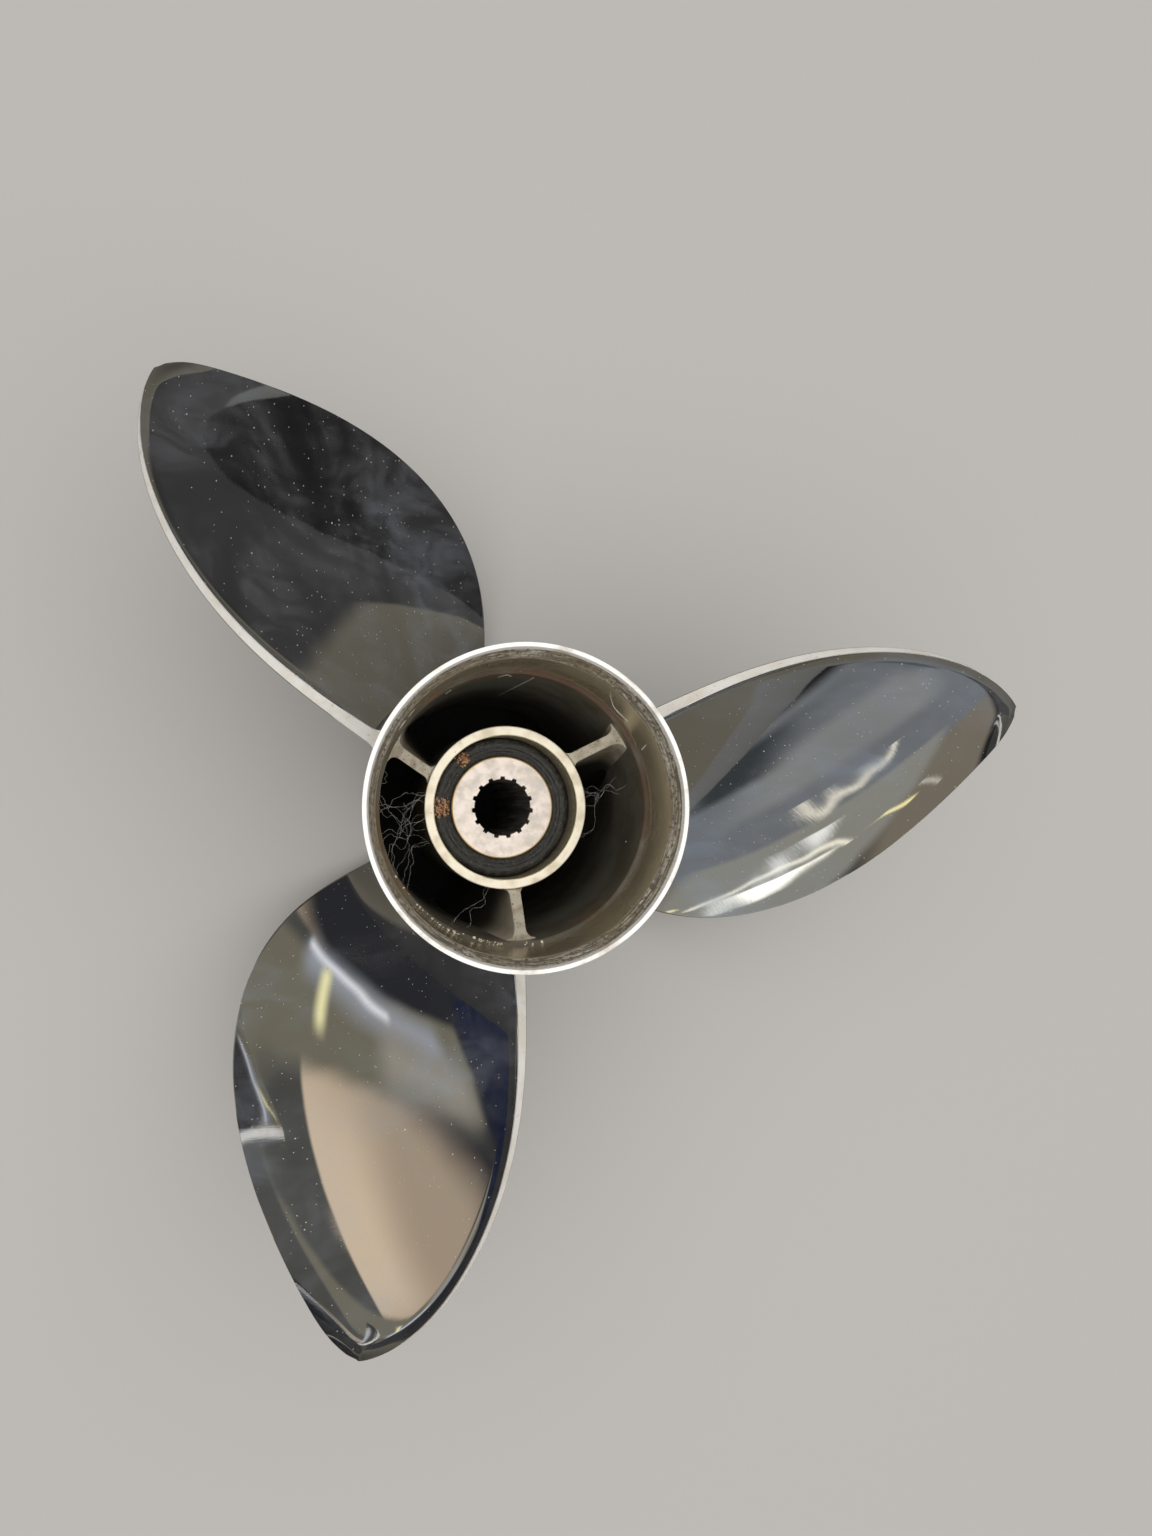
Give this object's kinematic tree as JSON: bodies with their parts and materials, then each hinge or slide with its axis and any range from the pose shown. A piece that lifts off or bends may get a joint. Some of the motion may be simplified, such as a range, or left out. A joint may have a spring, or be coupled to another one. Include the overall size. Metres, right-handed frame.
{
  "type": "three-blade through-hub exhaust boat propeller",
  "caption": "Polished stainless outboard boat propeller with swept blades, a flared exhaust hub, webs, and a splined sleeve in a rubber bushing",
  "frame": {"origin": "On the shaft axis, in the plane of the hub's front rim, which the propeller rests on", "axes": "+Z runs along the shaft axis from the front rim to the flared aft ring; +X and +Y are fixed by the blades, whose first trailing edge leaves the hub 30.7 degrees from +X towards +Y"},
  "size_m": [0.3256, 0.341, 0.1663],
  "materials": {
    "polished_stainless": "mirror polished outside, as cast inside the hub",
    "black_rubber": "matt moulded rubber",
    "sleeve_metal": "turned, satin"
  },
  "bodies": {
    "root": {"propeller_casting": "polished_stainless", "rubber_bushing": "black_rubber", "splined_sleeve": "sleeve_metal"}
  },
  "joints": []
}
